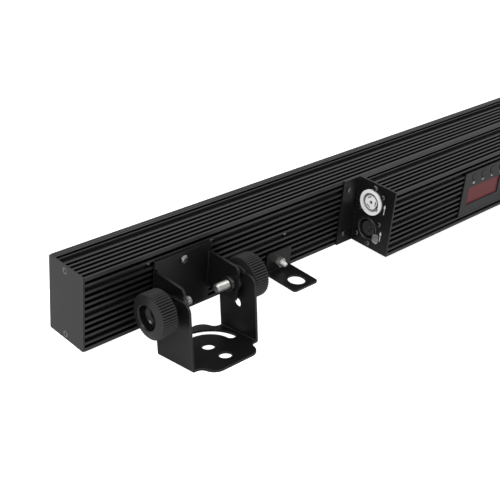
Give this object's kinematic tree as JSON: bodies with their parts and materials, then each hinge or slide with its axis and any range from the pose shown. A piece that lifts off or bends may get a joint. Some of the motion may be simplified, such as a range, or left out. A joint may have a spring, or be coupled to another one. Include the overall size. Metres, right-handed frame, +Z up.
{
  "type": "led strip batten",
  "caption": "Finned aluminium light bar on two swivelling floor yokes with clamping knobs, carrying a driver box with display, buttons and connectors on its back.",
  "frame": {"origin": "middle of the overall box at the floor, on the plane the yokes stand on", "axes": "+X along the bar away from the end with the loosened knob, +Y towards the light side, +Z up"},
  "size_m": [1.07, 0.1116, 0.092],
  "materials": {
    "profile": "black anodised, satin",
    "plate": "fine textured powder coat",
    "yoke_steel": "textured powder coat",
    "zinc": "bright zinc plate",
    "black_zinc": "black oxide",
    "window": "clear polycarbonate",
    "lens": "clear acrylic",
    "black_plastic": "fine grain",
    "board": "white solder mask",
    "green_board": "green solder mask",
    "emitter": "silicone dome",
    "knob_plastic": "moulded, satin",
    "rubber": "matt",
    "light_grey": "moulded",
    "blue": "moulded",
    "contact": "bright",
    "panel": "printed film",
    "red_window": "red acrylic",
    "display": "moulded",
    "cable": "sheath"
  },
  "bodies": {
    "bar": {"bar_housing": "profile", "end_plate_left": "plate", "end_plate_right": "plate", "end_plate_screws": "black_zinc", "front_window": "window", "lens_frame": "black_plastic", "lenses": "lens", "led_boards": "board", "led_emitters": "emitter", "board_screws": "zinc", "bracket_left": "yoke_steel", "bracket_right": "yoke_steel", "bracket_screws": "zinc", "bracket_nuts": "black_zinc", "yoke_spacers": "rubber", "safety_eyelets": "yoke_steel", "eyelet_studs": "zinc", "eyelet_nuts": "zinc", "driver_box_housing": "profile", "connector_plate_left": "yoke_steel", "connector_plate_right": "yoke_steel", "plate_screws": "zinc", "power_outlet": "light_grey", "power_inlet": "blue", "power_contacts": "contact", "dmx_outlet": "black_plastic", "dmx_outlet_insert": "black_plastic", "dmx_inlet": "black_plastic", "dmx_contacts": "contact", "connector_screws": "zinc", "control_panel": "panel", "display_window": "red_window", "display_module": "display", "control_board": "green_board", "tact_switches": "black_plastic", "power_supply": "board", "supply_components": "black_plastic", "driver_board": "green_board", "board_standoffs": "contact", "wiring": "cable"},
    "left_yoke": {"yoke_left": "yoke_steel"},
    "right_yoke": {"yoke_right": "yoke_steel"},
    "clamp_left_outer_washer": {"washer_left_outer": "rubber"},
    "clamp_left_outer_knob": {"knob_left_outer": "knob_plastic", "bolt_left_outer": "zinc"},
    "clamp_left_inner_washer": {"washer_left_inner": "rubber"},
    "clamp_left_inner_knob": {"knob_left_inner": "knob_plastic", "bolt_left_inner": "zinc"},
    "clamp_right_inner_washer": {"washer_right_inner": "rubber"},
    "clamp_right_inner_knob": {"knob_right_inner": "knob_plastic", "bolt_right_inner": "zinc"},
    "clamp_right_outer_washer": {"washer_right_outer": "rubber"},
    "clamp_right_outer_knob": {"knob_right_outer": "knob_plastic", "bolt_right_outer": "zinc"},
    "latch": {"latch_button": "zinc"},
    "menu_button_1": {"button_1": "black_plastic"},
    "menu_button_2": {"button_2": "black_plastic"},
    "menu_button_3": {"button_3": "black_plastic"},
    "menu_button_4": {"button_4": "black_plastic"}
  },
  "joints": [
    {"name": "left_yoke_swivel", "type": "hinge", "parent": "bar", "child": "left_yoke", "pos_m": [-0.441, -0.02104, 0.0485], "axis": [1, 0, 0], "range_deg": [-180, 20]},
    {"name": "right_yoke_swivel", "type": "hinge", "parent": "bar", "child": "right_yoke", "pos_m": [0.441, -0.02104, 0.0485], "axis": [1, 0, 0], "range_deg": [-180, 20]},
    {"name": "left_outer_washer_travel", "type": "slide", "parent": "bar", "child": "clamp_left_outer_washer", "axis": [-1, 0, 0], "range_m": [-0.00541, 0.00061]},
    {"name": "left_outer_knob_turn", "type": "hinge", "parent": "clamp_left_outer_washer", "child": "clamp_left_outer_knob", "pos_m": [-0.441, -0.02104, 0.0485], "axis": [-1, 0, 0], "range_deg": [-1555.2, 172.8]},
    {"name": "left_inner_washer_travel", "type": "slide", "parent": "bar", "child": "clamp_left_inner_washer", "axis": [1, 0, 0], "range_m": [-0.00001, 0.00601]},
    {"name": "left_inner_knob_turn", "type": "hinge", "parent": "clamp_left_inner_washer", "child": "clamp_left_inner_knob", "pos_m": [-0.441, -0.02104, 0.0485], "axis": [1, 0, 0], "range_deg": [0, 1728]},
    {"name": "right_inner_washer_travel", "type": "slide", "parent": "bar", "child": "clamp_right_inner_washer", "axis": [-1, 0, 0], "range_m": [-0.00001, 0.00601]},
    {"name": "right_inner_knob_turn", "type": "hinge", "parent": "clamp_right_inner_washer", "child": "clamp_right_inner_knob", "pos_m": [0.441, -0.02104, 0.0485], "axis": [-1, 0, 0], "range_deg": [0, 1728]},
    {"name": "right_outer_washer_travel", "type": "slide", "parent": "bar", "child": "clamp_right_outer_washer", "axis": [1, 0, 0], "range_m": [-0.00001, 0.00601]},
    {"name": "right_outer_knob_turn", "type": "hinge", "parent": "clamp_right_outer_washer", "child": "clamp_right_outer_knob", "pos_m": [0.441, -0.02104, 0.0485], "axis": [1, 0, 0], "range_deg": [0, 1728]},
    {"name": "latch_press", "type": "slide", "parent": "bar", "child": "latch", "axis": [1, 0, 0], "range_m": [0, 0.0015]},
    {"name": "button_1_press", "type": "slide", "parent": "bar", "child": "menu_button_1", "axis": [0, 0.9877, 0.1564], "range_m": [0, 0.0008]},
    {"name": "button_2_press", "type": "slide", "parent": "bar", "child": "menu_button_2", "axis": [0, 0.9877, 0.1564], "range_m": [0, 0.0008]},
    {"name": "button_3_press", "type": "slide", "parent": "bar", "child": "menu_button_3", "axis": [0, 0.9877, 0.1564], "range_m": [0, 0.0008]},
    {"name": "button_4_press", "type": "slide", "parent": "bar", "child": "menu_button_4", "axis": [0, 0.9877, 0.1564], "range_m": [0, 0.0008]}
  ],
  "couplings": [
    {"joint": "left_outer_washer_travel", "follows": "left_outer_knob_turn", "m_per_rad": 0.00019894},
    {"joint": "left_inner_washer_travel", "follows": "left_inner_knob_turn", "m_per_rad": 0.00019894},
    {"joint": "right_inner_washer_travel", "follows": "right_inner_knob_turn", "m_per_rad": 0.00019894},
    {"joint": "right_outer_washer_travel", "follows": "right_outer_knob_turn", "m_per_rad": 0.00019894}
  ]
}
